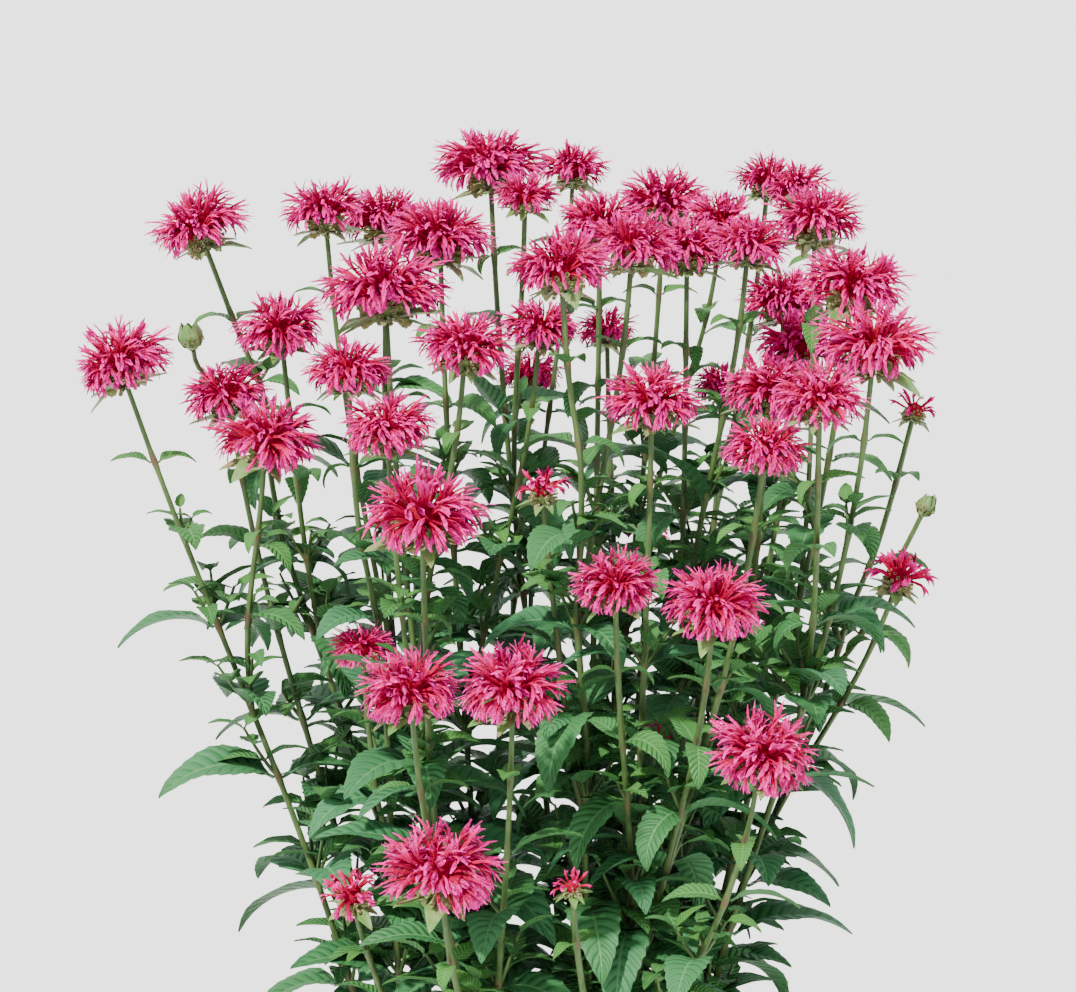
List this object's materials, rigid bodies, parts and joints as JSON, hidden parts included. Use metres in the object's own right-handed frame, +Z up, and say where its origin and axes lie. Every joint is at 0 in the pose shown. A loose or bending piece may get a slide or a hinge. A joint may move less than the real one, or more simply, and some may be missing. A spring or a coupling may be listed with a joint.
{
  "type": "potted bee balm",
  "caption": "Bee balm in a plain clay pot: square leafy stems with opposite leaves, each ending in a green cup under a shaggy coral-pink bloom.",
  "frame": {"origin": "middle of the pot's flat underside", "axes": "+Z up along the pot's axis; the plant's front, as in the picture, faces -Y"},
  "size_m": [0.5365, 0.4471, 0.875],
  "materials": {
    "pot": "matt unglazed clay",
    "potting_mix": "loose dark peaty mix",
    "foliage": "satin green leaves and stems with fine hairs",
    "bloom": "soft coral-pink petals"
  },
  "bodies": {
    "root": {"pot": "pot", "potting_mix": "potting_mix", "leafy_clump_left": "foliage", "leafy_clump_back_left": "foliage", "leafy_clump_front_left": "foliage", "leafy_clump_back_right": "foliage", "leafy_clump_front_right": "foliage", "leafy_clump_right": "foliage", "bloom_01": "bloom", "bloom_02": "bloom", "bloom_03": "bloom", "bloom_04": "bloom", "bloom_05": "bloom", "bloom_06": "bloom", "bloom_07": "bloom", "bloom_08": "bloom", "bloom_09": "bloom", "bloom_10": "bloom", "bloom_11": "bloom", "bloom_12": "bloom", "bloom_13": "bloom", "bloom_14": "bloom", "bloom_15": "bloom", "bloom_16": "bloom", "bloom_17": "bloom", "bloom_18": "bloom", "bloom_19": "bloom", "bloom_20": "bloom", "bloom_21": "bloom", "bloom_22": "bloom", "bloom_23": "bloom", "bloom_24": "bloom", "bloom_25": "bloom", "bloom_26": "bloom", "bloom_27": "bloom", "bloom_28": "bloom", "bloom_29": "bloom", "bloom_30": "bloom", "bloom_31": "bloom", "bloom_32": "bloom", "bloom_33": "bloom", "bloom_34": "bloom", "bloom_35": "bloom", "bloom_36": "bloom", "bloom_37": "bloom", "bloom_38": "bloom", "bloom_39": "bloom", "bloom_40": "bloom", "bloom_41": "bloom", "bloom_42": "bloom", "bloom_43": "bloom", "bloom_44": "bloom", "bloom_45": "bloom", "bloom_46": "bloom", "bloom_47": "bloom", "bloom_48": "bloom", "bloom_49": "bloom", "bloom_50": "bloom", "bloom_51": "bloom", "bloom_52": "bloom"}
  },
  "joints": []
}
